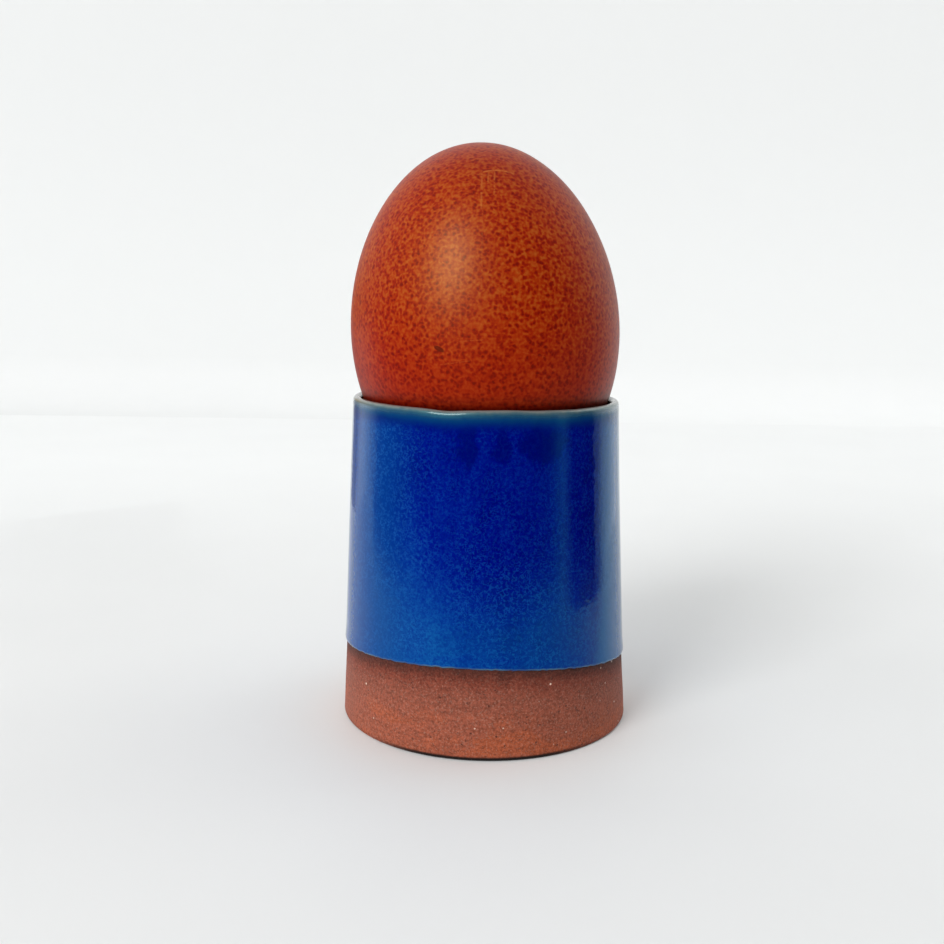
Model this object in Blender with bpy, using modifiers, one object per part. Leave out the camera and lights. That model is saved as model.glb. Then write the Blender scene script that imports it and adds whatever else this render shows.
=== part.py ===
"""A hen's egg, whole in its shell, standing in its hand-thrown stoneware egg cup.

Two separate pieces: the egg, and the cup that it rests in.  The cup is a tall beaker with a
thin rounded lip.  Its glaze is a raised coat that ends in a bead along a wavy line, and the
clay below the line is bare.  Metres, +Z up, with the origin at the centre of the cup's flat
base and the cup's front towards -Y.
"""

import math

import bpy

MM = 0.001

# The cup: a beaker that tapers from its base up to its lip.
CUP_HEIGHT = 53.7 * MM
BASE_RADIUS = 24.1 * MM
RIM_RADIUS = 21.9 * MM
LIP_THICKNESS = 1.32 * MM
FOOT_ROUNDING = 0.45 * MM
CUP_STEPS = 72

# The well inside the cup, below the egg.
WALL_THICKNESS = 2.7 * MM  # a third of the way down
WALL_AT_FLOOR = 3.6 * MM
FLOOR_THICKNESS = 5.8 * MM
FLOOR_ROUNDING = 8.0 * MM

# The glaze: a coat on the wall, thicker in the bead where it ran and stopped.
GLAZE_LINE = 12.5 * MM  # mean height of the coat's lower edge
COAT_AT_LINE = 0.13 * MM
COAT_AT_LIP = 0.05 * MM
BEAD = 0.21 * MM  # how far the bead stands out from the clay's taper
CLAY_INSET = 0.1 * MM  # how far the bare clay stands in from it, just below the line
GLAZE_WAVES = (  # times around, height of its cosine and of its sine, measured from the front
    (1, 1.18 * MM, -0.84 * MM),
    (2, 0.77 * MM, 0.16 * MM),
)

# What the potter's hands left: the cup leans and bows, and its rim dips and rises.
CUP_LEAN = -0.0069  # sideways shift of the axis for each unit of height, towards -X
CUP_BOW = -0.18 * MM
RIM_TILT = 0.15 * MM  # the rim is this much lower at +X and higher at -X
RIM_WAVES = (  # angle from the front in degrees, half width in degrees, height
    (-16, 7, -0.22 * MM),
    (8, 9, 0.12 * MM),
    (39, 6, -0.06 * MM),
    (118, 12, -0.10 * MM),
    (-131, 11, 0.09 * MM),
)
RIM_REACH = 9 * MM  # how far below the rim its dips and rises fade out

# The egg: blunt end down, resting at the lip's inner edge.
EGG_BREADTH = 44.0 * MM
EGG_LENGTH = 57.2 * MM
EGG_TAPER = 1.5 * MM  # how far the widest girth lies below the middle
EGG_CENTRE = (-0.76 * MM, 0.0, 65.81 * MM)
EGG_LEAN = (0.020, -0.062, 0.0)  # radians about X and Y: the top leans to the front and to -X
EGG_STEPS = 60
EGG_RINGS = 24

SHELL_BROWN = (0.42, 0.115, 0.05)
COBALT_GLAZE = (0.006, 0.045, 0.24)
BARE_CLAY = (0.27, 0.085, 0.042)


def clear_scene():
    for thing in list(bpy.data.objects):
        bpy.data.objects.remove(thing, do_unlink=True)


def new_collection(name):
    collection = bpy.data.collections.new(name)
    bpy.context.scene.collection.children.link(collection)
    return collection


def new_material(name, colour, roughness):
    material = bpy.data.materials.new(name)
    material.use_nodes = True
    surface = material.node_tree.nodes["Principled BSDF"]
    surface.inputs["Base Color"].default_value = (*colour, 1.0)
    surface.inputs["Roughness"].default_value = roughness
    surface.inputs["Metallic"].default_value = 0.0
    material.diffuse_color = (*colour, 1.0)
    return material


def smoothstep(low, high, value):
    share = min(1.0, max(0.0, (value - low) / (high - low)))
    return share * share * (3.0 - 2.0 * share)


def arc(centre, radii, start, end, count):
    """Points (radius, height) on an elliptic arc, from one angle to another in degrees."""
    points = []
    for i in range(count):
        angle = math.radians(start + (end - start) * i / (count - 1))
        points.append((centre[0] + radii[0] * math.cos(angle), centre[1] + radii[1] * math.sin(angle)))
    return points


def turned(name, profile, steps):
    """A mesh object from a profile of (radius, height) turned about Z, its modifier applied."""
    mesh = bpy.data.meshes.new(name + "_profile")
    corners = [(radius, 0.0, height) for radius, height in profile]
    edges = [(i, i + 1) for i in range(len(corners) - 1)]
    mesh.from_pydata(corners, edges, [])
    pattern = bpy.data.objects.new(name + "_profile", mesh)
    bpy.context.scene.collection.objects.link(pattern)
    screw = pattern.modifiers.new("turn", "SCREW")
    screw.axis = "Z"
    screw.angle = math.tau
    screw.steps = steps
    screw.render_steps = steps
    screw.use_merge_vertices = True
    screw.merge_threshold = 0.01 * MM
    graph = bpy.context.evaluated_depsgraph_get()
    solid = bpy.data.meshes.new_from_object(pattern.evaluated_get(graph))
    solid.name = name
    bpy.data.objects.remove(pattern, do_unlink=True)
    return bpy.data.objects.new(name, solid)


# ---- the egg


def egg_radius(height):
    """Half the egg's breadth at a height from its middle, along its own axis."""
    length, taper = EGG_LENGTH, EGG_TAPER
    inside = length**2 - 4.0 * height**2
    skew = length**2 + 8.0 * taper * height + 4.0 * taper**2
    return 0.5 * EGG_BREADTH * math.sqrt(max(0.0, inside) / skew)


def egg_profile():
    """From the pointed top to the blunt bottom, with rings evenly spread by angle."""
    points = []
    for i in range(EGG_RINGS + 1):
        height = 0.5 * EGG_LENGTH * math.cos(math.pi * i / EGG_RINGS)
        points.append((egg_radius(height), height))
    points[0] = (0.0, 0.5 * EGG_LENGTH)
    points[-1] = (0.0, -0.5 * EGG_LENGTH)
    return points


def make_egg(collection):
    egg = turned("egg", egg_profile(), EGG_STEPS)
    egg.location = EGG_CENTRE
    egg.rotation_euler = EGG_LEAN
    egg.data.materials.append(new_material("brown_eggshell", SHELL_BROWN, 0.55))
    egg.data.shade_smooth()
    collection.objects.link(egg)
    return egg


# ---- the cup


def taper(height):
    """The clay wall's outer radius."""
    return BASE_RADIUS + (RIM_RADIUS - BASE_RADIUS) * height / CUP_HEIGHT


def glazed(height):
    """The glaze's outer radius: the coat is thickest near its line and gathers at the lip."""
    share = (height - GLAZE_LINE) / (CUP_HEIGHT - GLAZE_LINE)
    return taper(height) + COAT_AT_LINE * (1.0 - share) ** 2 + COAT_AT_LIP * share**4


def on_outer_wall(x, y, z):
    """True on the cup's outer wall, and false in its well."""
    return math.hypot(x, y) > taper(z) - 0.75 * LIP_THICKNESS


def well_points():
    """From the middle of the well's floor, out and up its wall to just under the lip."""
    corner = taper(FLOOR_THICKNESS) - WALL_AT_FLOOR - FLOOR_ROUNDING
    middle = (corner, FLOOR_THICKNESS + FLOOR_ROUNDING)
    points = [(0.0, FLOOR_THICKNESS), (0.5 * corner, FLOOR_THICKNESS)]
    points += arc(middle, (FLOOR_ROUNDING, FLOOR_ROUNDING), -90, 0, 7)
    for share, wall in ((0.45, 3.2 * MM), (0.66, WALL_THICKNESS), (0.83, 2.35 * MM), (0.93, 1.75 * MM)):
        height = share * CUP_HEIGHT
        points.append((taper(height) - wall, height))
    return points


def lip_points():
    """Over the lip, from its inner side to its outer side: a half round."""
    half = 0.5 * LIP_THICKNESS
    outer = glazed(CUP_HEIGHT)
    middle = (outer - half, CUP_HEIGHT - half)
    return arc(middle, (half, half), 180, 0, 9)


def coat_points():
    """Down the glazed wall, over the bead and back onto the clay."""
    points = []
    for height in (50.6, 46.5, 41.0, 35.0, 29.0, 23.5, 19.0, 15.8):
        points.append((glazed(height * MM), height * MM))
    bead = (  # height above the line in millimetres, distance out from the clay's taper
        (1.7, 0.7 * BEAD),
        (0.9, 0.93 * BEAD),
        (0.45, BEAD),
        (0.12, 0.55 * BEAD),
        (0.0, -CLAY_INSET),
    )
    for rise, out in bead:
        height = GLAZE_LINE + rise * MM
        points.append((taper(height) + out, height))
    return points


def foot_points():
    """The bare clay below the line, its rounded edge, and the flat base to its centre."""
    points = []
    for height, inset in ((10.9, CLAY_INSET), (8.2, 0.7 * CLAY_INSET), (5.0, 0.3 * CLAY_INSET)):
        points.append((taper(height * MM) - inset, height * MM))
    rounding = FOOT_ROUNDING
    middle = (BASE_RADIUS - rounding, rounding)
    points += arc(middle, (rounding, rounding), 0, -90, 5)
    points.append((0.5 * BASE_RADIUS, 0.0))
    points.append((0.0, 0.0))
    return points


def glaze_wave(angle):
    """How far the glaze line stands above its mean height at an angle from the front."""
    return sum(c * math.cos(k * angle) + s * math.sin(k * angle) for k, c, s in GLAZE_WAVES)


def rim_wave(angle):
    """How far the rim stands above the cup's height at an angle from the front."""
    rise = -RIM_TILT * math.sin(angle)
    for place, width, height in RIM_WAVES:
        away = (math.degrees(angle) - place + 180.0) % 360.0 - 180.0
        rise += height * math.exp(-((away / width) ** 2))
    return rise


def follows_line(height):
    """1 at the glaze line and its bead, fading out towards the foot and up the wall."""
    below = smoothstep(FOOT_ROUNDING, GLAZE_LINE - 1.8 * MM, height)
    above = 1.0 - smoothstep(GLAZE_LINE + 3.0 * MM, 32.0 * MM, height)
    return below * above


def shape_by_hand(mesh):
    """Waves the glaze line on the outside, waves the rim, then leans and bows the cup."""
    for vertex in mesh.vertices:
        x, y, z = vertex.co
        angle = math.atan2(x, -y)
        rise = rim_wave(angle) * smoothstep(CUP_HEIGHT - RIM_REACH, CUP_HEIGHT - LIP_THICKNESS, z)
        if on_outer_wall(x, y, z):
            rise += glaze_wave(angle) * follows_line(z)
        share = z / CUP_HEIGHT
        sideways = CUP_LEAN * z + CUP_BOW * share * math.sin(math.pi * share)
        vertex.co = (x + sideways, y, z + rise)


def paint_foot(mesh):
    """The faces below the glaze line take the clay, which is the second material."""
    for face in mesh.polygons:
        x, y, z = face.center
        line = GLAZE_LINE + glaze_wave(math.atan2(x, -y))
        bare = z < line and (on_outer_wall(x, y, z) or z < 0.5 * FLOOR_THICKNESS)
        face.material_index = 1 if bare else 0


def make_cup(collection):
    profile = well_points() + lip_points() + coat_points() + foot_points()
    cup = turned("egg_cup", profile, CUP_STEPS)
    shape_by_hand(cup.data)
    cup.data.materials.append(new_material("cobalt_glaze", COBALT_GLAZE, 0.18))
    cup.data.materials.append(new_material("bare_clay", BARE_CLAY, 0.8))
    paint_foot(cup.data)
    cup.data.shade_smooth()
    cup.data.set_sharp_from_angle(angle=math.radians(50))
    collection.objects.link(cup)
    return cup


def main():
    clear_scene()
    collection = new_collection("boiled_egg_in_egg_cup")
    make_cup(collection)
    make_egg(collection)


main()
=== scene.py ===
import math
import random

import bpy
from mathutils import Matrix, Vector


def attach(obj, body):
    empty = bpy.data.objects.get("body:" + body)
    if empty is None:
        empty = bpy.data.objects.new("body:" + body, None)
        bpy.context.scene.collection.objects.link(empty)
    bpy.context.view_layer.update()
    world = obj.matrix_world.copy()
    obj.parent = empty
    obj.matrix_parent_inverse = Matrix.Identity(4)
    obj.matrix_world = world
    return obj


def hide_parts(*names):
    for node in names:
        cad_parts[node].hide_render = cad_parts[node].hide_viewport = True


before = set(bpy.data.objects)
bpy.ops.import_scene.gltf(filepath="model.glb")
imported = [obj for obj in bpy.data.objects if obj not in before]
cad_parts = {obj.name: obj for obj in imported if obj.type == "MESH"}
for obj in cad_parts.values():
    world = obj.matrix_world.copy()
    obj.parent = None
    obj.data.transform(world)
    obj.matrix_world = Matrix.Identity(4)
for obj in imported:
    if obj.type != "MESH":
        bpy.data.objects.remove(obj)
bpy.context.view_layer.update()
mm = 0.001


def deselectAll():
    if bpy.context.object and bpy.context.object.mode != "OBJECT":
        bpy.ops.object.mode_set(mode="OBJECT")
    bpy.ops.object.select_all(action="DESELECT")


def selectOnly(piece):
    deselectAll()
    piece.select_set(True)
    bpy.context.view_layer.objects.active = piece


def editAll():
    bpy.ops.object.mode_set(mode="EDIT")
    bpy.ops.mesh.select_mode(type="VERT")
    bpy.ops.mesh.select_all(action="SELECT")


def startPiece(name):
    piece = bpy.context.object
    piece.name = name
    piece.data.name = name
    return piece


def drawOutline(name, points):
    # a single vertex, pulled along the outline from point to point; (radius, height) lies in the XZ plane
    deselectAll()
    bpy.ops.mesh.primitive_plane_add(size=mm, location=(points[0][0], 0, points[0][1]))
    piece = startPiece(name)
    bpy.ops.object.transform_apply(location=True)
    editAll()
    bpy.ops.mesh.merge(type="CENTER")
    for last, point in zip(points, points[1:]):
        step = (point[0] - last[0], 0, point[1] - last[1])
        bpy.ops.mesh.extrude_vertices_move(TRANSFORM_OT_translate={"value": step})
    bpy.ops.object.mode_set(mode="OBJECT")
    return piece


def spinRound(piece, steps, weld=0.004 * mm):
    # turned on the wheel: once round Z, with the seam and the poles welded and the faces outward
    editAll()
    bpy.ops.mesh.spin(steps=steps, angle=math.tau, center=(0, 0, 0), axis=(0, 0, 1))
    bpy.ops.mesh.select_all(action="SELECT")
    bpy.ops.mesh.remove_doubles(threshold=weld)
    bpy.ops.mesh.normals_make_consistent(inside=False)
    bpy.ops.object.mode_set(mode="OBJECT")


def standUp(piece):
    # an outline drawn in the XZ plane becomes a plan on the floor
    piece.rotation_euler = (math.radians(-90), 0, 0)
    bpy.ops.object.transform_apply(location=True, rotation=True)


def raiseEdges(rise):
    bpy.ops.mesh.extrude_edges_move(TRANSFORM_OT_translate={"value": (0, 0, rise)})


def applyModifier(piece, kind, name, **settings):
    modifier = piece.modifiers.new(name, kind)
    for key, value in settings.items():
        setattr(modifier, key, value)
    bpy.context.view_layer.objects.active = piece
    bpy.ops.object.modifier_apply(modifier=name)


def storeOnVertices(piece, name, values):
    layer = piece.data.attributes.new(name, "FLOAT", "POINT")
    layer.data.foreach_set("value", values)


def smoothstep(low, high, value):
    share = min(1.0, max(0.0, (value - low) / (high - low)))
    return share * share * (3 - 2 * share)


def arc(centre, radius, start, end, count):
    # points (radius, height) on an arc from one angle to another, in degrees
    points = []
    for i in range(count):
        angle = math.radians(start + (end - start) * i / (count - 1))
        points.append((centre[0] + radius * math.cos(angle), centre[1] + radius * math.sin(angle)))
    return points


def between(first, last, count):
    # points on a straight line, without its two ends
    shares = [i / (count + 1) for i in range(1, count + 1)]
    return [tuple(a + (b - a) * share for a, b in zip(first, last)) for share in shares]


class Recipe:
    # a material's node tree, with short calls for the nodes that the finishes here are made from

    def __init__(self, name):
        self.material = bpy.data.materials.new(name)
        self.material.use_nodes = True
        self.tree = self.material.node_tree
        self.shader = self.tree.nodes["Principled BSDF"]
        self.spot = 0

    def node(self, kind, sockets=None, **settings):
        made = self.tree.nodes.new("ShaderNode" + kind)
        self.spot += 1
        made.location = (-240 * (self.spot % 8) - 300, -260 * (self.spot // 8))
        for key, value in settings.items():
            setattr(made, key, value)
        for key, value in (sockets or {}).items():
            self.put(made.inputs[key], value)
        return made

    def put(self, socket, value):
        if isinstance(value, bpy.types.NodeSocket):
            self.tree.links.new(value, socket)
        else:
            socket.default_value = value

    def place(self, scale=(1, 1, 1), shift=(0, 0, 0)):
        # object coordinates in millimetres, stretched and moved
        coordinates = self.node("TexCoord").outputs["Object"]
        return self.node(
            "Mapping", {"Vector": coordinates, "Scale": [s / mm for s in scale], "Location": shift}
        ).outputs["Vector"]

    def stored(self, name):
        return self.node("Attribute", attribute_name=name).outputs["Fac"]

    def noise(self, where, size, detail=2.0, roughness=0.5, distortion=0.0):
        # from 0 to 1; size is the width of a typical blotch in millimetres
        sockets = {"Vector": where, "Scale": 1 / size, "Detail": detail}
        sockets.update({"Roughness": roughness, "Distortion": distortion})
        return self.node("TexNoise", sockets).outputs["Fac"]

    def wander(self, where, size, reach, detail):
        # the same place, moved along each axis by up to the reach, half of it on average, in millimetres
        wobble = self.node("TexNoise", {"Vector": where, "Scale": 1 / size, "Detail": detail})
        sockets = {0: wobble.outputs["Color"], 1: (reach, reach, reach), 2: where}
        return self.node("VectorMath", sockets, operation="MULTIPLY_ADD").outputs[0]

    def cells(self, where, size, randomness=1.0):
        # the distance to the nearest of many scattered points; size is their spacing in millimetres
        sockets = {"Vector": where, "Scale": 1 / size, "Randomness": randomness}
        return self.node("TexVoronoi", sockets).outputs["Distance"]

    def sum(self, first, second, operation="ADD", clamp=False):
        made = self.node("Math", operation=operation, use_clamp=clamp)
        self.put(made.inputs[0], first)
        self.put(made.inputs[1], second)
        return made.outputs[0]

    def times(self, first, second):
        return self.sum(first, second, "MULTIPLY")

    def less(self, value, amount):
        return self.sum(value, amount, "SUBTRACT")

    def most(self, first, second):
        # the greater of the two, or the second where there is no first yet
        return second if first is None else self.sum(first, second, "MAXIMUM")

    def sway(self, noise, amount):
        # a noise from 0 to 1 becomes one to either side of zero
        return self.times(self.less(noise, 0.5), amount)

    def squared(self, value, half):
        # 1 at the half width
        return self.sum(self.times(value, 1 / half), 2, "POWER")

    def away(self, value, middle):
        # distance from a middle value, to either side
        return self.node("Math", {0: self.less(value, middle)}, operation="ABSOLUTE").outputs[0]

    def axes(self, where):
        return self.node("SeparateXYZ", {"Vector": where}).outputs

    def fade(self, value, low, high, start=0.0, end=1.0):
        # start at low and below, end at high and above, with a smooth step between
        return self.node(
            "MapRange",
            {"Value": value, "From Min": low, "From Max": high, "To Min": start, "To Max": end},
            interpolation_type="SMOOTHSTEP",
        ).outputs["Result"]

    def blend(self, share, first, second, mode="MIX"):
        made = self.node("Mix", data_type="RGBA", blend_type=mode)
        self.put(made.inputs["Factor"], share)
        self.put(made.inputs[6], first if isinstance(first, bpy.types.NodeSocket) else (*first, 1))
        self.put(made.inputs[7], second if isinstance(second, bpy.types.NodeSocket) else (*second, 1))
        return made.outputs[2]

    def ramp(self, value, stops):
        made = self.node("ValToRGB", {"Fac": value})
        while len(made.color_ramp.elements) < len(stops):
            made.color_ramp.elements.new(0.5)
        for element, (position, colour) in zip(made.color_ramp.elements, stops):
            element.position = position
            element.color = (*colour, 1)
        return made.outputs["Color"]

    def bump(self, height, depth, under=None):
        # depth is the height in metres of a step from 0 to 1
        sockets = {"Height": height, "Distance": depth, "Strength": 1.0}
        if under is not None:
            sockets["Normal"] = under
        return self.node("Bump", sockets).outputs["Normal"]

    def finish(self, **sockets):
        for key, value in sockets.items():
            self.put(self.shader.inputs[key.replace("_", " ")], value)
        return self.material

    def glow(self, colour, strength):
        # it shines, but the light isn't sampled from it as from a lamp
        self.material.cycles.emission_sampling = "NONE"
        return self.finish(Emission_Color=colour, Emission_Strength=strength)


camera = {
    "place": (-0.000276, -0.185241, 0.072484),  # metres
    "turn": (80.3187, -0.6551, 0.8179),  # degrees
    "lens": 42.5875,  # millimetres, as is the sensor
    "sensor": 36,
    "clip": (0.01, 20),
}


def addCamera(settings):
    deselectAll()
    bpy.ops.object.camera_add(
        location=settings["place"], rotation=[math.radians(angle) for angle in settings["turn"]]
    )
    made = bpy.context.object
    made.name = "camera"
    made.data.lens = settings["lens"]
    made.data.sensor_width = settings["sensor"]
    made.data.clip_start, made.data.clip_end = settings["clip"]
    bpy.context.scene.camera = made


addCamera(camera)
print("camera placed")


egg = {
    "breadth": 44.0 * mm,
    "length": 57.2 * mm,
    "taper": 1.5 * mm,  # how far the widest girth lies below the middle
    "centre": (-0.76 * mm, 0.0, 65.81 * mm),
    "lean": (0.020, -0.062),  # radians about X, then about Y
    "segments": 192,
    "rings": 96,
    "unevenness": 0.05 * mm,  # how far the shell dips in below the true oval
    "unevenSize": 7 * mm,
}


def makeEgg(egg):
    # half of the egg's outline, from the pointed top to the blunt bottom
    length, taper = egg["length"], egg["taper"]
    points = []
    for ring in range(egg["rings"] + 1):
        angle = math.pi * ring / egg["rings"]
        height = 0.5 * length * math.cos(angle)
        skew = length / math.sqrt(length**2 + 8 * taper * height + 4 * taper**2)
        points.append((0.5 * egg["breadth"] * math.sin(angle) * skew, height))
    piece = drawOutline("eggShell", points)
    spinRound(piece, egg["segments"])
    relief = bpy.data.textures.new("shellUnevenness", "CLOUDS")
    relief.noise_scale = egg["unevenSize"]
    relief.noise_depth = 2
    depth = egg["unevenness"]
    applyModifier(piece, "DISPLACE", "unevenness", texture=relief, strength=depth, mid_level=1.0)
    piece.rotation_euler = (*egg["lean"], 0)
    piece.location = egg["centre"]
    bpy.ops.object.transform_apply(location=True, rotation=True, scale=True)
    bpy.ops.object.shade_smooth()
    return piece


eggPiece = makeEgg(egg)
print("egg modelled:", len(eggPiece.data.polygons), "faces")


cup = {
    "height": 53.7 * mm,
    "baseRadius": 24.1 * mm,
    "rimRadius": 21.9 * mm,
    "lip": 1.32 * mm,
    "footRounding": 0.45 * mm,
    "wellFloor": 5.8 * mm,
    "wellRounding": 8.0 * mm,
    "wallAtFloor": 3.6 * mm,
    "wellWalls": (  # share of the height, thickness of the wall there
        (0.45, 3.2 * mm),
        (0.66, 2.7 * mm),
        (0.83, 2.35 * mm),
        (0.93, 1.75 * mm),
    ),
    "glazeLine": 12.5 * mm,
    "coatAtLine": 0.13 * mm,
    "coatAtLip": 0.05 * mm,
    "coat": 0.24 * mm,  # the glaze's thickness, part of it soaked into the clay
    "bead": 0.21 * mm,
    "beadShape": (  # height above the line, share of the bead's reach
        (1.7 * mm, 0.7),
        (1.3 * mm, 0.83),
        (0.9 * mm, 0.93),
        (0.65 * mm, 0.98),
        (0.45 * mm, 1.0),
        (0.28 * mm, 0.88),
        (0.12 * mm, 0.55),
    ),
    "beadStart": 2.4 * mm,  # above the line
    "clayInset": 0.1 * mm,
    "insetFrom": 3 * mm,  # up the foot, where the inset begins
    "shoulder": 0.4 * mm,  # drop from the clay's lip to its wall, under the glaze
    "lineWaves": ((1, 1.18 * mm, -0.84 * mm), (2, 0.77 * mm, 0.16 * mm)),  # times around, cosine, sine
    "waveBelow": 1.8 * mm,  # the line's waves are whole from this far below it
    "waveAbove": 3 * mm,  # to this far above it
    "waveEnd": 32 * mm,  # and they end at this height
    "ripples": range(12, 124, 4),  # times around the line, for the small ones on top of the waves
    "rippleHeight": 0.014 * mm,
    "rippleFull": 60,  # those that go fewer times around are lower
    "rippleReach": 2.2 * mm,
    "rippleSeed": 5,
    "lean": -0.0069,  # sideways for each unit of height
    "bow": -0.18 * mm,
    "rimTilt": 0.15 * mm,
    "rimWaves": (  # degrees from the front, half width in degrees, height
        (-16, 7, -0.22 * mm),
        (8, 9, 0.12 * mm),
        (39, 6, -0.06 * mm),
        (118, 12, -0.10 * mm),
        (-131, 11, 0.09 * mm),
    ),
    "rimReach": 9 * mm,
    "steps": 256,
    "rings": {
        "floor": 6,
        "bend": 15,  # from the well's floor into its wall
        "well": 5,
        "lip": 17,
        "glaze": 64,
        "wall": 30,
        "foot": 28,
        "edge": 11,
        "base": 8,
    },
}


def taperAt(height):
    # the clay wall's outer radius
    return cup["baseRadius"] + (cup["rimRadius"] - cup["baseRadius"]) * height / cup["height"]


def glazedAt(height):
    # the glaze's outer radius: thickest near its line, gathered again at the lip
    share = (height - cup["glazeLine"]) / (cup["height"] - cup["glazeLine"])
    return taperAt(height) + cup["coatAtLine"] * (1 - share) ** 2 + cup["coatAtLip"] * share**4


def wellOutline(deeper=0.0):
    # from the middle of the well's floor out and up to just under the lip
    floor, rounding, rings = cup["wellFloor"] - deeper, cup["wellRounding"], cup["rings"]
    corner = taperAt(floor) - cup["wallAtFloor"] - rounding + deeper
    points = [(0.0, floor)] + between((0.0, floor), (corner, floor), rings["floor"])
    points += arc((corner, floor + rounding), rounding, -90, 0, rings["bend"])
    for share, wall in cup["wellWalls"]:
        height = share * cup["height"]
        top = (taperAt(height) - wall + deeper, height)
        points += between(points[-1], top, rings["well"]) + [top]
    return points


def lipOutline(inset=0.0):
    # over the lip from its inner to its outer side: a half round
    half = 0.5 * cup["lip"]
    middle = (glazedAt(cup["height"]) - half, cup["height"] - half)
    return arc(middle, half - inset, 180, 0, cup["rings"]["lip"])


def makeGlaze():
    # the skin of the glaze, from the middle of the well, over the lip and down to its own bead
    points = wellOutline() + lipOutline()
    wallTop, wallEnd, rings = points[-1][1], cup["glazeLine"] + cup["beadStart"], cup["rings"]["glaze"]
    for i in range(1, rings + 1):
        height = wallTop + (wallEnd - wallTop) * i / rings
        points.append((glazedAt(height), height))
    for rise, out in cup["beadShape"]:
        height = cup["glazeLine"] + rise
        points.append((taperAt(height) + out * cup["bead"], height))
    points.append((taperAt(cup["glazeLine"]) - cup["clayInset"], cup["glazeLine"]))
    piece = drawOutline("blueGlaze", points)
    spinRound(piece, cup["steps"])
    return piece


def makeClay():
    # the thrown body: its well, its lip's core, its wall and its foot
    soak, line, rounding, rings = 0.5 * cup["coat"], cup["glazeLine"], cup["footRounding"], cup["rings"]
    points = wellOutline(soak) + lipOutline(soak)
    wallTop = points[-1][1]
    lineEdge = (taperAt(line) - cup["clayInset"], line)
    shoulder = (taperAt(wallTop) - cup["clayInset"], wallTop - cup["shoulder"])
    points += [shoulder] + between(shoulder, lineEdge, rings["wall"]) + [lineEdge]
    for i in range(1, rings["foot"]):
        height = line + (rounding - line) * i / rings["foot"]
        inset = cup["clayInset"] * smoothstep(cup["insetFrom"], line, height)
        points.append((taperAt(height) - inset, height))
    points += arc((cup["baseRadius"] - rounding, rounding), rounding, 0, -90, rings["edge"])
    points += between(points[-1], (0.0, 0.0), rings["base"]) + [(0.0, 0.0)]
    piece = drawOutline("clayBody", points)
    spinRound(piece, cup["steps"])
    return piece


def lineWave(angle):
    return sum(c * math.cos(k * angle) + s * math.sin(k * angle) for k, c, s in cup["lineWaves"])


def rimWave(angle):
    rise = -cup["rimTilt"] * math.sin(angle)
    for place, width, height in cup["rimWaves"]:
        away = (math.degrees(angle) - place + 180) % 360 - 180
        rise += height * math.exp(-((away / width) ** 2))
    return rise


def drawRipples():
    # times around, height and phase of each small ripple of the glaze line
    random.seed(cup["rippleSeed"])
    ripples = []
    for k in cup["ripples"]:
        height = cup["rippleHeight"] * min(1, k / cup["rippleFull"])
        ripples.append((k, height, random.uniform(0, math.tau)))
    return ripples


def lineRipple(angle, ripples):
    return sum(height * math.sin(k * angle + phase) for k, height, phase in ripples)


def shapeByHand(piece):
    # the potter's hand: the glaze line and the rim wave, and the whole cup leans and bows
    line, ripples, heights = cup["glazeLine"], drawRipples(), []
    for vertex in piece.data.vertices:
        x, y, z = vertex.co
        angle = math.atan2(x, -y)
        heights.append(z / mm)
        rise = rimWave(angle) * smoothstep(cup["height"] - cup["rimReach"], cup["height"] - cup["lip"], z)
        if math.hypot(x, y) > taperAt(z) - 0.75 * cup["lip"]:  # on the outside
            below = smoothstep(cup["footRounding"], line - cup["waveBelow"], z)
            above = 1 - smoothstep(line + cup["waveAbove"], cup["waveEnd"], z)
            rise += lineWave(angle) * below * above
            nearLine = 1 - smoothstep(0, cup["rippleReach"], abs(z - line))
            rise += lineRipple(angle, ripples) * nearLine
        share = z / cup["height"]
        sideways = cup["lean"] * z + cup["bow"] * share * math.sin(math.pi * share)
        vertex.co = (x + sideways, y, z + rise)
    storeOnVertices(piece, "heightOnWall", heights)  # in millimetres, before the waves


clayPiece = makeClay()
shapeByHand(clayPiece)
selectOnly(clayPiece)
bpy.ops.object.shade_smooth()
print("clay body modelled:", len(clayPiece.data.polygons), "faces")

glazePiece = makeGlaze()
shapeByHand(glazePiece)
applyModifier(glazePiece, "SOLIDIFY", "coat", thickness=cup["coat"], offset=-1.0, use_even_offset=True)
selectOnly(glazePiece)
bpy.ops.object.shade_smooth_by_angle(angle=math.radians(60))
print("glaze modelled:", len(glazePiece.data.polygons), "faces")


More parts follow.
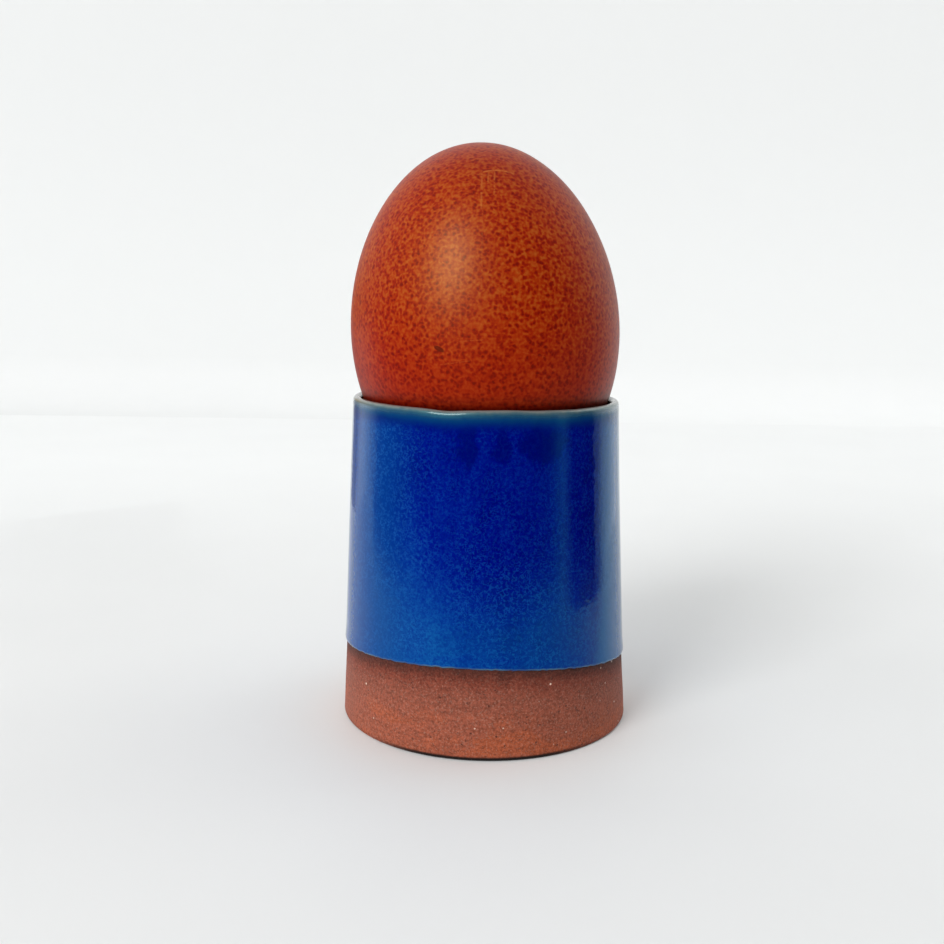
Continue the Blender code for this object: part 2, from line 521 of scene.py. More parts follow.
shellFinish = {
    "mottle": (  # from the darkest specks to the palest lines between them
        (0.0, (0.156, 0.0004, 0.0001)),
        (0.35, (0.262, 0.0050, 0.0001)),
        (0.62, (0.330, 0.026, 0.0005)),
        (1.0, (0.395, 0.074, 0.008)),
    ),
    "speckSize": 0.46,  # millimetres, as are the other sizes
    "speckShare": 0.6,
    "dotSpacing": 0.77,
    "dotEdge": (0.1, 0.7),
    "dotShare": 0.4,
    "dotWander": (0.8, 0.6),  # size and reach
    "grainSize": 0.3,
    "graininess": 0.12,
    "grainDepth": 0.008 * mm,
    "patchSize": 5,
    "patchiness": 0.10,
    "mottleSpan": (0.20, 0.89),  # the levels of the mixed noise that the mottle runs between
    "dimpleSize": 1.6,
    "dimpleDepth": 0.02 * mm,
    "roughness": 0.42,
    "gloss": 0.20,
    "glossTint": (1.0, 0.74, 0.23, 1.0),
    "deeper": (  # painted shade on the shell by height: darker and redder towards the lip, where the cup's rim shades it, and a little darker towards the top: millimetres up, share left
        (53.3, (0.24, 0.08, 0.07)),
        (54.4, (0.58, 0.17, 0.14)),
        (56.0, (0.86, 0.30, 0.26)),
        (60.0, (0.95, 0.47, 0.36)),
        (66.0, (1.0, 0.76, 0.60)),
        (72.0, (1.0, 1.0, 1.0)),
        (84.0, (1.0, 1.0, 0.90)),
        (92.0, (0.92, 0.88, 0.70)),
    ),
    "front": (-6, -9),  # y where the marks below start and are whole, in millimetres
    "rubbed": (0.46, 0.115, 0.022),  # where the colour is worn to a paler brown
    "rubGaps": 0.5,  # size of the breaks in a rub
    "rubs": (  # x and z of the middle, half length, half width, slope, bend, strength; in millimetres
        (0.85, 88.98, 2.9, 0.13, 0.0, -0.075, 0.95),
        (-0.90, 88.20, 1.5, 0.16, -0.05, 0.0, 0.45),
        (-2.5, 64.0, 2.3, 0.10, 0.08, 0.0, 0.5),
        (-5.0, 60.7, 2.5, 0.10, 0.16, 0.0, 0.55),
        (6.5, 62.0, 2.2, 0.09, -0.2, 0.0, 0.35),
    ),
    "drips": (  # the same for marks that run down the shell, with z of the middle before x
        (85.9, -1.45, 3.4, 0.17, 0.0, 0.0, 0.6),
        (87.4, -0.50, 1.4, 0.14, 0.0, 0.0, 0.6),
        (87.0, 0.45, 2.0, 0.15, 0.0, 0.0, 0.6),
        (77.0, -1.25, 7.0, 0.12, 0.0, 0.0, 0.15),
    ),
    "fleck": (-7.35, 62.67, 0.78, 0.40, -0.40),  # x, z, half length, half width, slope
    "fleckTone": (0.115, 0.0003, 0.0001),
    "fleckAmount": 0.95,
}


def rubMask(recipe, along, across, mark):
    # a thin worn line: how far it runs along one axis, and how far it strays across the other
    middleAlong, middleAcross, halfLength, halfWidth, slope, bend, strength = mark
    step = recipe.less(along, middleAlong)
    stray = recipe.less(recipe.less(across, middleAcross), recipe.times(step, slope))
    stray = recipe.less(stray, recipe.times(recipe.times(step, step), bend))
    thin = recipe.fade(recipe.away(stray, 0), 0.3 * halfWidth, 1.3 * halfWidth, strength, 0)
    return recipe.times(thin, recipe.fade(recipe.away(step, 0), 0.7 * halfLength, halfLength, 1, 0))


def fleckMask(recipe, x, z, fleck):
    # a small slanting oval
    middleX, middleZ, halfLength, halfWidth, slope = fleck
    step = recipe.less(x, middleX)
    stray = recipe.less(recipe.less(z, middleZ), recipe.times(step, slope))
    oval = recipe.sum(recipe.squared(step, halfLength), recipe.squared(stray, halfWidth))
    return recipe.fade(oval, 1.3, 0.5)


def makeShellMaterial(look):
    recipe = Recipe("brownEggshell")
    where = recipe.place()
    specks = recipe.noise(where, look["speckSize"], detail=0, distortion=0.3)
    size, reach = look["dotWander"]
    wandering = recipe.wander(where, size, reach, detail=0)
    dots = recipe.fade(recipe.cells(wandering, look["dotSpacing"], randomness=0.85), *look["dotEdge"])
    grain = recipe.noise(where, look["grainSize"], detail=0)
    patches = recipe.noise(where, look["patchSize"], detail=1)
    level = recipe.sum(recipe.times(specks, look["speckShare"]), recipe.times(dots, look["dotShare"]))
    level = recipe.sum(level, recipe.sway(grain, look["graininess"]))
    level = recipe.sum(level, recipe.sway(patches, look["patchiness"]))
    low, high = look["mottleSpan"]
    level = recipe.node("MapRange", {"Value": level, "From Min": low, "From Max": high}).outputs[0]
    colour = recipe.ramp(level, look["mottle"])

    x, y, z = recipe.axes(where)
    worn = None
    for mark in look["rubs"]:
        worn = recipe.most(worn, rubMask(recipe, x, z, mark))
    for mark in look["drips"]:
        worn = recipe.most(worn, rubMask(recipe, z, x, mark))
    front = recipe.fade(y, *look["front"])
    broken = recipe.fade(recipe.noise(where, look["rubGaps"], detail=1), 0.3, 0.6)
    colour = recipe.blend(recipe.times(recipe.times(worn, front), broken), colour, look["rubbed"])
    fleck = recipe.times(fleckMask(recipe, x, z, look["fleck"]), front)
    colour = recipe.blend(recipe.times(fleck, look["fleckAmount"]), colour, look["fleckTone"])

    # painted shade: the shell darkened and reddened towards the lip, by height
    low, high = look["deeper"][0][0], look["deeper"][-1][0]
    share = recipe.times(recipe.less(z, low), 1 / (high - low))
    dim = recipe.ramp(share, [((up - low) / (high - low), tone) for up, tone in look["deeper"]])
    colour = recipe.blend(1.0, colour, dim, "MULTIPLY")

    relief = recipe.bump(grain, look["grainDepth"])
    relief = recipe.bump(recipe.noise(where, look["dimpleSize"], detail=2), look["dimpleDepth"], relief)
    return recipe.finish(
        Base_Color=colour,
        Roughness=look["roughness"],
        Normal=relief,
        Specular_IOR_Level=look["gloss"],
        Specular_Tint=look["glossTint"],
    )


clayFinish = {
    "byHeight": (  # up the foot, in millimetres, to the dark edge that the glaze drew iron from
        (0.0, (0.340, 0.086, 0.044)),
        (4.0, (0.325, 0.086, 0.048)),
        (8.0, (0.278, 0.076, 0.045)),
        (10.2, (0.208, 0.047, 0.027)),
        (11.5, (0.122, 0.029, 0.018)),
        (12.5, (0.072, 0.021, 0.015)),
    ),
    "unevenSize": 3,  # millimetres, as are the other sizes
    "unevenness": 2.6,  # millimetres from the lowest to the highest that the heights above wander
    "warm": (0.40, 0.092, 0.038),  # where the fire turned it more orange
    "warmSize": 8,
    "warmAmount": 0.85,
    "warmBelow": (7.5, 3),  # the heights where it starts and is whole, in millimetres
    "grainSize": 0.42,
    "grainShades": (0.52, 1.30),
    "grainDepth": 0.09 * mm,
    "ringSize": 0.8,  # the lines that the potter's fingers left
    "ringShade": 0.35,
    "ringDepth": 0.05 * mm,
    "sand": (0.50, 0.31, 0.235),
    "sandSize": 0.3,
    "sandAmount": 0.29,
    "sandBelow": (12, 9),
    "pit": (0.05, 0.018, 0.014),
    "pitSpacing": 0.8,
    "pitPatches": 1.7,  # size of the patches that have pits
    "pitAmount": 0.75,
    "pitDepth": 0.08 * mm,
    "grog": (0.80, 0.62, 0.50),
    "grogSpacing": 1.9,
    "grogPatches": 3.1,
    "paintedContactShadow": (0.012, 0.006, 0.005),  # painted contact shadow along the foot's very edge
    "contactShadowBelow": (0.80, 0.45),
    "contactShadowFront": (-15, -22.5),  # y where it starts and is whole, in millimetres
    "roughness": 0.85,
    "gloss": 0.15,
    "dust": 0.10,
    "dustSpread": 0.45,
}


def makeClayMaterial(look):
    recipe = Recipe("bareClay")
    where = recipe.place()
    top = cup["glazeLine"] / mm
    height = recipe.stored("heightOnWall")
    uneven = recipe.noise(where, look["unevenSize"], detail=3, roughness=0.6)
    uneven = recipe.sway(uneven, look["unevenness"])
    share = recipe.times(recipe.sum(height, uneven), 1 / top)
    colour = recipe.ramp(share, [(level / top, tone) for level, tone in look["byHeight"]])
    squat = recipe.place((1, 1, 2))  # patches half as tall as they are wide
    warm = recipe.fade(recipe.noise(squat, look["warmSize"], detail=2), 0.46, 0.62, 0, look["warmAmount"])
    warm = recipe.times(warm, recipe.fade(height, *look["warmBelow"]))
    colour = recipe.blend(warm, colour, look["warm"])

    grain = recipe.noise(where, look["grainSize"], detail=3, roughness=0.75)
    around = recipe.place((0.12, 0.12, 1))  # stretched into lines around the foot
    rings = recipe.noise(around, look["ringSize"], detail=2)
    shade = recipe.fade(grain, 0.25, 0.75, *look["grainShades"])
    shade = recipe.sum(shade, recipe.sway(rings, look["ringShade"]))
    dim = recipe.node("CombineColor", {0: shade, 1: shade, 2: shade}).outputs[0]
    colour = recipe.blend(1.0, colour, dim, "MULTIPLY")

    sandy = recipe.noise(where, look["sandSize"], detail=2, roughness=0.7)
    sandy = recipe.fade(sandy, 0.50, 0.72, 0, look["sandAmount"])
    sandy = recipe.times(sandy, recipe.fade(height, *look["sandBelow"], 0.3, 1))
    colour = recipe.blend(sandy, colour, look["sand"])
    pits = recipe.fade(recipe.cells(where, look["pitSpacing"]), 0.22, 0.12)
    pits = recipe.times(pits, recipe.fade(recipe.noise(where, look["pitPatches"]), 0.5, 0.6))
    colour = recipe.blend(recipe.times(pits, look["pitAmount"]), colour, look["pit"])
    specks = recipe.fade(recipe.cells(where, look["grogSpacing"]), 0.105, 0.06)
    specks = recipe.times(specks, recipe.fade(recipe.noise(where, look["grogPatches"]), 0.50, 0.56))
    colour = recipe.blend(specks, colour, look["grog"])
    # painted contact shadow: the lowest edge of the foot darkened, most at the front
    front = recipe.fade(recipe.axes(where)[1], *look["contactShadowFront"], 0.15, 1.0)
    contactShaded = recipe.times(recipe.fade(height, *look["contactShadowBelow"]), front)
    colour = recipe.blend(contactShaded, colour, look["paintedContactShadow"])

    relief = recipe.bump(grain, look["grainDepth"])
    relief = recipe.bump(recipe.times(pits, -1), look["pitDepth"], relief)
    relief = recipe.bump(rings, look["ringDepth"], relief)
    return recipe.finish(
        Base_Color=colour,
        Roughness=look["roughness"],
        Normal=relief,
        Specular_IOR_Level=look["gloss"],
        Sheen_Weight=look["dust"],
        Sheen_Roughness=look["dustSpread"],
    )


glazeFinish = {
    "depths": (  # from where it pooled dark and thick to where it is thin over the clay
        (0.0, (0.0, 0.0002, 0.120)),
        (0.3, (0.0, 0.0010, 0.176)),
        (0.55, (0.0002, 0.0055, 0.208)),
        (0.8, (0.0008, 0.019, 0.236)),
        (1.0, (0.0018, 0.039, 0.264)),
    ),
    "tone": 0.36,  # the wall's middle place among the depths; the tones below add to it
    "lowTone": 0.15,
    "lowHeights": (34, 18),  # millimetres up the wall where that tone starts and is whole
    "lineTone": 0.14,
    "lineHeights": (5, 0.4),  # the same above the glaze line
    # lighter low on the left: partly the glaze's own paler tone, partly painted light from the lamps'
    # side
    "lowLeftTone": 0.36,
    "lowLeftHeights": (50, 20),
    "lowLeftSpan": (0, -9),  # the same along x
    # painted dark reflection: darker towards +X
    "rightTone": -0.16,
    "rightSpan": (13, 17),
    "runSize": 3.6,  # millimetres, as are the other sizes
    "runTone": 0.5,
    "cloudSize": 2.6,
    "cloudTone": 0.45,
    "fineSize": 0.42,
    "fineTone": 0.8,
    "paintedLeftLight": (0.0, 0.035, 0.215),  # painted light: paler towards -X, the lamps' side
    "leftLightFade": (-9, -17.5, 0, 0.9),  # x where it starts and is whole, share at each
    "paintedRightReflection": (0.0, 0.082, 0.275),  # painted reflection: a pale band towards +X
    "rightReflectionFade": (16.9, 19.6, 0, 0.75),
    "rightReflectionBack": (-2, 14, 1, 0.15),  # the same along y
    "rightReflectionWander": (6, 1.6),  # size and reach
    "lip": (  # millimetres below the lip's top
        (0.0, (0.175, 0.165, 0.155)),
        (0.14, (0.165, 0.18, 0.17)),
        (0.38, (0.060, 0.105, 0.125)),
        (0.75, (0.014, 0.066, 0.132)),
        (1.3, (0.002, 0.040, 0.140)),
        (2.0, (0.0005, 0.017, 0.145)),
        (3.0, (0.0001, 0.003, 0.145)),
    ),
    "lipRagged": (1.3, 0.45),  # size and reach of the wander of these heights
    "crystals": ((0.0010, 0.030, 0.26), (0.006, 0.078, 0.35)),  # near the lip, near the foot
    "litSideCrystals": (0.010, 0.098, 0.37),  # paler crystals on the sides with painted light and painted reflection
    "litSideCrystalSpan": (-5, -16),  # x where they start and are whole, in millimetres
    "crystalSizes": (0.72, 0.5),
    "crystalPatches": 4.5,
    "crystalHeights": (44, 20),  # from the colour near the lip to the one near the foot
    "crystalAmount": 0.50,
    "pools": (  # dark pools below the lip: x and z of the middle, half width, half height, strength
        (-2.9, 48.8, 1.5, 4.2, 0.9),
        (2.1, 48.3, 1.5, 2.6, 0.8),
        (8.2, 48.6, 3.6, 2.8, 1.0),
    ),
    "poolWander": (2, 3),  # size and reach
    "poolFront": (-2, -8),  # y where they start and are whole
    "edge": (0.10, 0.19, 0.24),  # the glaze's lowest rim, at its line
    "edgeHeights": (0.42, 0.2),  # millimetres above the line
    "rippleSizes": ((5, 1, 0.045 * mm), (1.0, 2, 0.028 * mm)),  # size, detail, depth
    "roughness": 0.07,
    "gloss": 0.42,
    "glossTint": (0.03, 1.0, 1.0, 1.0),
    "lipFade": (0.5, 0.2),  # shares of the lip's bands where its own gloss begins and is whole
    "lipRoughness": 0.40,
    "lipCoat": 0.95,
    "lipCoatRoughness": 0.16,
}


def crystalMask(recipe, shift, size):
    # short curly lines: a thin band around the middle level of a noise, broken by a second one
    curls = recipe.noise(recipe.place(shift=(shift, shift, 0)), size, detail=1)
    line = recipe.fade(recipe.away(curls, 0.5), 0, 0.08, 1, 0)
    broken = recipe.noise(recipe.place(shift=(shift + 9, 3, 5)), 0.6, detail=0)
    return recipe.times(line, recipe.fade(broken, 0.42, 0.58))


def poolMask(recipe, where, look):
    # soft upright ovals on the front, with wandering edges
    size, reach = look["poolWander"]
    x, y, z = recipe.axes(recipe.wander(where, size, reach, detail=2))
    mask = None
    for middleX, middleZ, halfWidth, halfHeight, strength in look["pools"]:
        wide = recipe.squared(recipe.less(x, middleX + 0.5 * reach), halfWidth)
        tall = recipe.squared(recipe.less(z, middleZ + 0.5 * reach), halfHeight)
        mask = recipe.most(mask, recipe.fade(recipe.sum(wide, tall), 1.8, 0.2, 0, strength))
    return recipe.times(mask, recipe.fade(y, *look["poolFront"]))


def glazeTone(recipe, where, height, across, look):
    # from 0 where the glaze is darkest to 1 where it is palest, before the pools
    line = cup["glazeLine"] / mm
    low = recipe.times(recipe.fade(height, *look["lowHeights"]), look["lowTone"])
    start, whole = look["lineHeights"]
    lowest = recipe.times(recipe.fade(height, line + start, line + whole), look["lineTone"])
    # lighter low on the left: partly the glaze's own tone, partly painted light
    lowLeft = recipe.fade(height, *look["lowLeftHeights"])
    lowLeft = recipe.times(lowLeft, recipe.fade(across, *look["lowLeftSpan"]))
    low = recipe.sum(low, recipe.times(lowLeft, look["lowLeftTone"]))
    # painted dark reflection: darker towards +X
    low = recipe.sum(low, recipe.fade(across, *look["rightSpan"], 0, look["rightTone"]))
    upright = recipe.place((1, 1, 0.3))  # stretched into runs down the wall
    runs = recipe.sway(recipe.noise(upright, look["runSize"], detail=2), look["runTone"])
    clouds = recipe.noise(where, look["cloudSize"], detail=3, roughness=0.6)
    clouds = recipe.sway(clouds, look["cloudTone"])
    fine = recipe.sway(recipe.noise(where, look["fineSize"], detail=1), look["fineTone"])
    tone = recipe.sum(recipe.sum(low, lowest), look["tone"])
    return recipe.sum(recipe.sum(tone, runs), recipe.sum(clouds, fine), clamp=True)


def makeGlazeMaterial(look):
    recipe = Recipe("cobaltGlaze")
    where = recipe.place()
    lipTop, line = cup["height"] / mm, cup["glazeLine"] / mm
    height = recipe.stored("heightOnWall")
    across, back = recipe.axes(where)[:2]
    tone = glazeTone(recipe, where, height, across, look)
    pooled = poolMask(recipe, where, look)
    tone = recipe.times(tone, recipe.fade(pooled, 0, 1, 1, 0.15))
    colour = recipe.ramp(tone, look["depths"])
    # painted light: paler towards -X
    colour = recipe.blend(recipe.fade(across, *look["leftLightFade"]), colour, look["paintedLeftLight"])
    # painted reflection: a pale band towards +X with a wandering edge, fading towards the back
    size, reach = look["rightReflectionWander"]
    stray = recipe.sway(recipe.noise(where, size, detail=2), reach)
    rightReflectionShare = recipe.fade(recipe.sum(across, stray), *look["rightReflectionFade"])
    rightReflectionShare = recipe.times(rightReflectionShare, recipe.fade(recipe.sum(back, stray), *look["rightReflectionBack"]))
    colour = recipe.blend(rightReflectionShare, colour, look["paintedRightReflection"])

    large, small = look["crystalSizes"]
    crystals = recipe.most(crystalMask(recipe, 0, large), crystalMask(recipe, 4.3, small))
    patchy = recipe.noise(where, look["crystalPatches"], detail=1)
    patchy = recipe.fade(patchy, 0.34, 0.64, 0.6, 1.0)
    amount = recipe.times(recipe.times(patchy, look["crystalAmount"]), recipe.fade(pooled, 0, 1, 1, 0.25))
    lower = recipe.fade(height, *look["crystalHeights"])
    crystalTone = recipe.blend(lower, *look["crystals"])
    # paler crystals where the sides carry painted light and painted reflection
    thin = recipe.sum(recipe.fade(across, *look["litSideCrystalSpan"]), rightReflectionShare)
    crystalTone = recipe.blend(thin, crystalTone, look["litSideCrystals"])
    colour = recipe.blend(recipe.times(crystals, amount), colour, crystalTone)

    size, reach = look["lipRagged"]
    ragged = recipe.sway(recipe.noise(where, size, detail=2), reach)
    deepest = look["lip"][-1][0]
    below = recipe.times(recipe.less(recipe.sum(height, ragged), lipTop), -1 / deepest)
    lipColour = recipe.ramp(below, [(down / deepest, tone) for down, tone in look["lip"]])
    colour = recipe.blend(recipe.fade(below, 1.25, 0.6), colour, lipColour)
    start, whole = look["edgeHeights"]
    thinEdge = recipe.fade(height, line + start, line + whole)
    thinEdge = recipe.times(thinEdge, recipe.fade(patchy, 0.6, 1.0, 0.3, 0.7))
    colour = recipe.blend(thinEdge, colour, look["edge"])

    relief = None
    for size, detail, depth in look["rippleSizes"]:
        relief = recipe.bump(recipe.noise(where, size, detail), depth, relief)
    return recipe.finish(
        Base_Color=colour,
        Roughness=recipe.fade(below, *look["lipFade"], look["roughness"], look["lipRoughness"]),
        Normal=relief,
        Specular_IOR_Level=look["gloss"],
        Specular_Tint=look["glossTint"],
        Coat_Weight=recipe.fade(below, *look["lipFade"], 0, look["lipCoat"]),
        Coat_Roughness=look["lipCoatRoughness"],
    )


def dress(piece, material, node):
    piece.data.materials.clear()
    piece.data.materials.append(material)
    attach(piece, "root")
    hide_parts(node)


dress(eggPiece, makeShellMaterial(shellFinish), "egg")
dress(clayPiece, makeClayMaterial(clayFinish), "egg_cup")
dress(glazePiece, makeGlazeMaterial(glazeFinish), "egg_cup")
print("finishes made")


studio = {  # in metres, but for the spans of the glows
    "floorWhite": (0.80, 0.81, 0.805),
    "floorShade": 0.97,  # the darker of its faint blotches
    "blotchSize": 40,  # millimetres
    "floorRoughness": 0.6,
    "floorGloss": 0.3,
    "floorSize": 4.0,
    "floorSquares": 8,
    "wallWhite": (0.77, 0.78, 0.775),
    "wallRoughness": 0.7,
    "wallDistance": 0.43,
    "wallSides": 0.95,  # from the middle to each side
    "wallHeight": 1.1,
    "leftWing": 0.02,  # y where each side of the wall ends, towards the front
    "rightWing": 0.22,
    "cornerRounding": 0.15,
    "cove": 0.07,  # share of the wall's reach that curves into the floor
    "coveHeight": 0.03,
    "coveSteps": 8,
    "cornerPoints": 7,
    "backPoints": 5,
    "wallGlow": (0.0, 0.12),  # at the left and at the right
    "wallGlowSpan": (-300, 300),  # x, in millimetres
    "sideGlow": 0.50,  # more of it on the right wing, out of view
    "sideGlowSpan": (320, 700),
    "footGlow": 0.06,  # along the foot of the wall
    "footGlowSpan": (30, 220),  # z, in millimetres
    "farGlow": 0.12,  # on the floor towards the wall
    "farGlowSpan": (40, 270),  # y, in millimetres
    "lampAim": 0.05,  # the height that every lamp looks at
    "room": (0.20, 0.20, 0.205),
    "backdrop": (0.90, 0.91, 0.90),
}

cards = {  # grey cards around the front, which show in the gloss alone
    "heights": (0.0025, 0.005, 0.0075, 0.010, 0.013, 0.016, 0.03, 0.05, 0.09),
    "lowReach": 0.016,  # how high the brighter foot of a card fades out
    "lowFade": 1.5,  # the power of that fade
    "step": 4,  # degrees, at most about, from one card to the next
    "turns": (  # degrees from the front, metres away, brightness at the foot, brightness above
        (-150, 0.20, 0.30, 0.20),
        (-135, 0.20, 0.60, 0.46),
        (-126, 0.22, 1.05, 1.12),
        (-119, 0.25, 1.20, 1.28),
        (-111, 0.25, 1.10, 1.12),
        (-105.5, 0.22, 0.95, 0.82),
        (-100.5, 0.19, 0.85, 0.60),
        (-97, 0.165, 0.80, 0.32),
        (-93.5, 0.15, 0.80, 0.18),
        (-87, 0.135, 0.80, 0.12),
        (-78, 0.125, 0.80, 0.10),
        (-56, 0.12, 0.80, 0.10),
        (-36, 0.115, 0.80, 0.08),
        (-16, 0.115, 0.80, 0.06),
        (2, 0.115, 0.80, 0.035),
        (21, 0.115, 0.75, 0.03),
        (40, 0.13, 0.75, 0.04),
        (51, 0.132, 0.75, 0.12),
        (61.5, 0.13, 0.90, 0.60),
        (67, 0.125, 0.50, 0.20),
        (70.5, 0.125, 0.25, 0.02),
        (94.8, 0.125, 0.15, 0.03),
        (95.4, 0.125, 0.28, 0.38),
        (100, 0.125, 0.30, 0.42),
        (105, 0.13, 0.70, 0.74),
        (110, 0.14, 0.92, 0.92),
        (119.5, 0.18, 1.12, 0.97),
        (140, 0.20, 1.20, 1.20),
    ),
}

darkCard = {  # stands for the dark things on the left, which the shell's gloss would show
    "turns": (-150, -72),  # degrees from the front
    "panels": 12,
    "away": 0.17,
    "from": 0.06,
    "to": 0.22,
    "lowGlow": (0.58, 0.34, 0.12),  # below the first height
    "highGlow": (0.84, 0.80, 0.72),  # above the second
    "blendHeights": (62, 118),  # millimetres
}

lamps = {  # watts, metres and degrees
    "window": {
        "power": 33.0,
        "size": (0.91, 1.31),
        "distance": 2.2,
        "azimuth": -36,
        "elevation": 29,
    },
    "sky": {  # it fills the left without a second highlight
        "power": 8.5,
        "size": (1.4, 1.4),
        "distance": 1.8,
        "azimuth": -74,
        "elevation": 32,
        "inGloss": False,
    },
    "glint": {  # it strengthens the highlight on the shell, and nothing else
        "power": 90,
        "colour": (0.61, 0.61, 1.0),
        "size": (0.7, 1.1),
        "distance": 2.2,
        "azimuth": -29,
        "elevation": 33,
        "inDiffuse": False,
        "shellAlone": True,
    },
    "ceiling": {  # it fills the shadows without a second highlight
        "power": 8.6,
        "size": (1.6, 1.6),
        "distance": 1.3,
        "azimuth": 120,
        "elevation": 72,
        "inGloss": False,
    },
}


def addFloor(studio):
    deselectAll()
    squares, size = studio["floorSquares"], studio["floorSize"]
    bpy.ops.mesh.primitive_grid_add(x_subdivisions=squares, y_subdivisions=squares, size=size)
    floor = startPiece("floor")
    material = Recipe("paleTable")
    where = material.place()
    white = studio["floorWhite"]
    tint = material.noise(where, studio["blotchSize"], detail=1)
    colour = material.blend(tint, [studio["floorShade"] * c for c in white], white)
    far = material.fade(material.axes(where)[1], *studio["farGlowSpan"], 0, studio["farGlow"])
    material.finish(
        Base_Color=colour,
        Roughness=studio["floorRoughness"],
        Specular_IOR_Level=studio["floorGloss"],
    )
    floor.data.materials.append(material.glow((*white, 1), far))


def wallPlan(studio):
    side, back, rounding = studio["wallSides"], studio["wallDistance"], studio["cornerRounding"]
    plan = [(-side, studio["leftWing"])]
    plan += arc((rounding - side, back - rounding), rounding, 180, 90, studio["cornerPoints"])
    plan += between(plan[-1], (side - rounding, back), studio["backPoints"])
    plan += arc((side - rounding, back - rounding), rounding, 90, 0, studio["cornerPoints"])
    plan.append((side, studio["rightWing"]))
    return plan


def widen(share):
    bpy.ops.transform.resize(value=(share, share, 1), center_override=(0, 0, 0))


def addWall(studio):
    # a white wall behind, with a wing to either side, that curves into the floor
    wall = drawOutline("wall", wallPlan(studio))
    standUp(wall)
    editAll()
    reach, steps = 1 - studio["cove"], studio["coveSteps"]
    widen(reach)
    for i in range(1, steps + 1):
        turn = 0.5 * math.pi * i / steps
        raiseEdges(studio["coveHeight"] * (math.cos(turn - 0.5 * math.pi / steps) - math.cos(turn)))
        wider = (1 - studio["cove"] * (1 - math.sin(turn))) / reach
        widen(wider)
        reach *= wider
    raiseEdges(studio["wallHeight"])
    bpy.ops.object.mode_set(mode="OBJECT")
    bpy.ops.object.shade_smooth()
    material = Recipe("paleWall")
    x, y, z = material.axes(material.place())
    sides = material.fade(x, *studio["wallGlowSpan"], *studio["wallGlow"])
    strength = material.sum(sides, material.fade(z, *studio["footGlowSpan"], studio["footGlow"], 0))
    strength = material.sum(strength, material.fade(x, *studio["sideGlowSpan"], 0, studio["sideGlow"]))
    white = (*studio["wallWhite"], 1)
    material.finish(Base_Color=white, Roughness=studio["wallRoughness"])
    wall.data.materials.append(material.glow(white, strength))


def planPoint(turn, away):
    # a place in plan, from the degrees to the right of the front and the distance
    turn = math.radians(turn)
    return (away * math.sin(turn), -away * math.cos(turn))


def showInGlossOnly(piece, material, colour, strength):
    # the piece lights nothing and throws no shadow
    material.finish(Base_Color=(0, 0, 0, 1), Specular_IOR_Level=0.0)
    piece.data.materials.append(material.glow(colour, strength))
    piece.visible_camera = False
    piece.visible_diffuse = False
    piece.visible_transmission = False
    piece.visible_shadow = False


def cardRows(cards):
    # the rows of the turns, with even steps from each to the next
    rows = []
    for first, last in zip(cards["turns"], cards["turns"][1:]):
        steps = max(1, round((last[0] - first[0]) / cards["step"]))
        for i in range(steps):
            rows.append([a + (b - a) * i / steps for a, b in zip(first, last)])
    return rows + [cards["turns"][-1]]


def addCards(cards):
    rows = cardRows(cards)
    piece = drawOutline("cards", [planPoint(turn, away) for turn, away, low, high in rows])
    standUp(piece)
    editAll()
    for last, height in zip((0, *cards["heights"]), cards["heights"]):
        raiseEdges(height - last)
    bpy.ops.object.mode_set(mode="OBJECT")
    glows = []
    for i, vertex in enumerate(piece.data.vertices):
        turn, away, low, high = rows[i % len(rows)]
        lowShare = max(0.0, 1 - vertex.co.z / cards["lowReach"]) ** cards["lowFade"]
        glows.append(high + (low - high) * lowShare)
    storeOnVertices(piece, "glow", glows)
    material = Recipe("greyCard")
    showInGlossOnly(piece, material, (1, 1, 1, 1), material.stored("glow"))


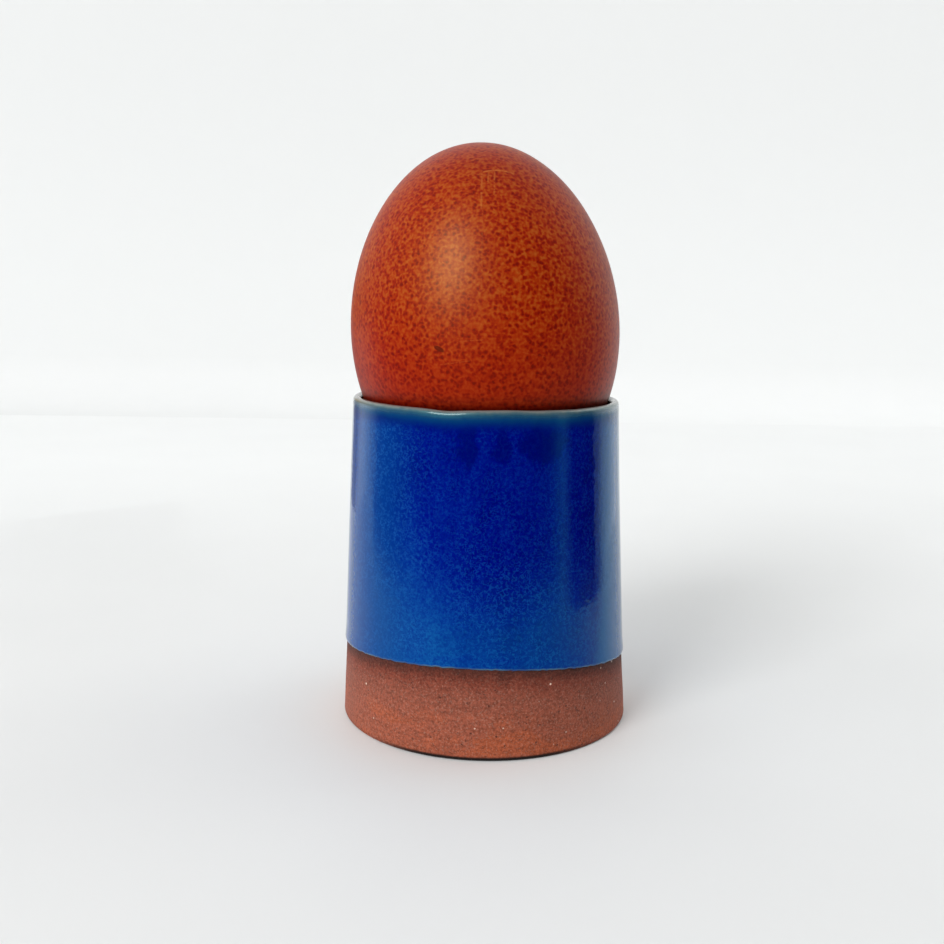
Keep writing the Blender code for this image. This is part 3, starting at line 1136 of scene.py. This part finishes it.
def addDarkCard(card):
    first, last = card["turns"]
    turns = [first + (last - first) * i / card["panels"] for i in range(card["panels"] + 1)]
    piece = drawOutline("darkCard", [planPoint(turn, card["away"]) for turn in turns])
    piece.location = (0, 0, card["from"])
    standUp(piece)
    editAll()
    raiseEdges(card["to"] - card["from"])
    bpy.ops.object.mode_set(mode="OBJECT")
    material = Recipe("darkCard")
    height = material.axes(material.place())[2]
    share = material.fade(height, *card["blendHeights"])
    showInGlossOnly(piece, material, material.blend(share, card["lowGlow"], card["highGlow"]), 1.0)


def addLamp(name, lamp, aim):
    deselectAll()
    elevation = math.radians(lamp["elevation"])
    x, y = planPoint(lamp["azimuth"], math.cos(elevation))
    away = Vector((x, y, math.sin(elevation)))
    bpy.ops.object.light_add(type="AREA", location=Vector((0, 0, aim)) + away * lamp["distance"])
    made = bpy.context.object
    made.name = name
    made.rotation_euler = away.to_track_quat("Z", "Y").to_euler()
    made.data.shape = "RECTANGLE"
    made.data.size, made.data.size_y = lamp["size"]
    made.data.energy = lamp["power"]
    made.data.color = lamp.get("colour", (1, 1, 1))
    made.visible_glossy = lamp.get("inGloss", True)
    made.visible_diffuse = lamp.get("inDiffuse", True)
    return made


def addLamps(lamps, aim, shell):
    for name, lamp in lamps.items():
        made = addLamp(name, lamp, aim)
        if lamp.get("shellAlone", False):
            onShell = bpy.data.collections.new(name + "Receivers")
            onShell.objects.link(shell)
            made.light_linking.receiver_collection = onShell


def background(tree, colour):
    made = tree.nodes.new("ShaderNodeBackground")
    made.inputs["Color"].default_value = (*colour, 1)
    return made.outputs[0]


def addRoomLight(studio):
    # the camera sees a pale backdrop past the floor, and the pieces get a soft light from all around
    world = bpy.data.worlds.new("room")
    bpy.context.scene.world = world
    world.use_nodes = True
    tree = world.node_tree
    tree.nodes.clear()
    seen = background(tree, studio["backdrop"])
    lit = background(tree, studio["room"])
    path = tree.nodes.new("ShaderNodeLightPath")
    mixed = tree.nodes.new("ShaderNodeMixShader")
    output = tree.nodes.new("ShaderNodeOutputWorld")
    tree.links.new(path.outputs["Is Camera Ray"], mixed.inputs[0])
    tree.links.new(lit, mixed.inputs[1])
    tree.links.new(seen, mixed.inputs[2])
    tree.links.new(mixed.outputs[0], output.inputs["Surface"])


addFloor(studio)
addWall(studio)
addCards(cards)
addDarkCard(darkCard)
addLamps(lamps, studio["lampAim"], eggPiece)
addRoomLight(studio)
bpy.context.scene.view_settings.view_transform = "Standard"
print("studio lit")

deselectAll()
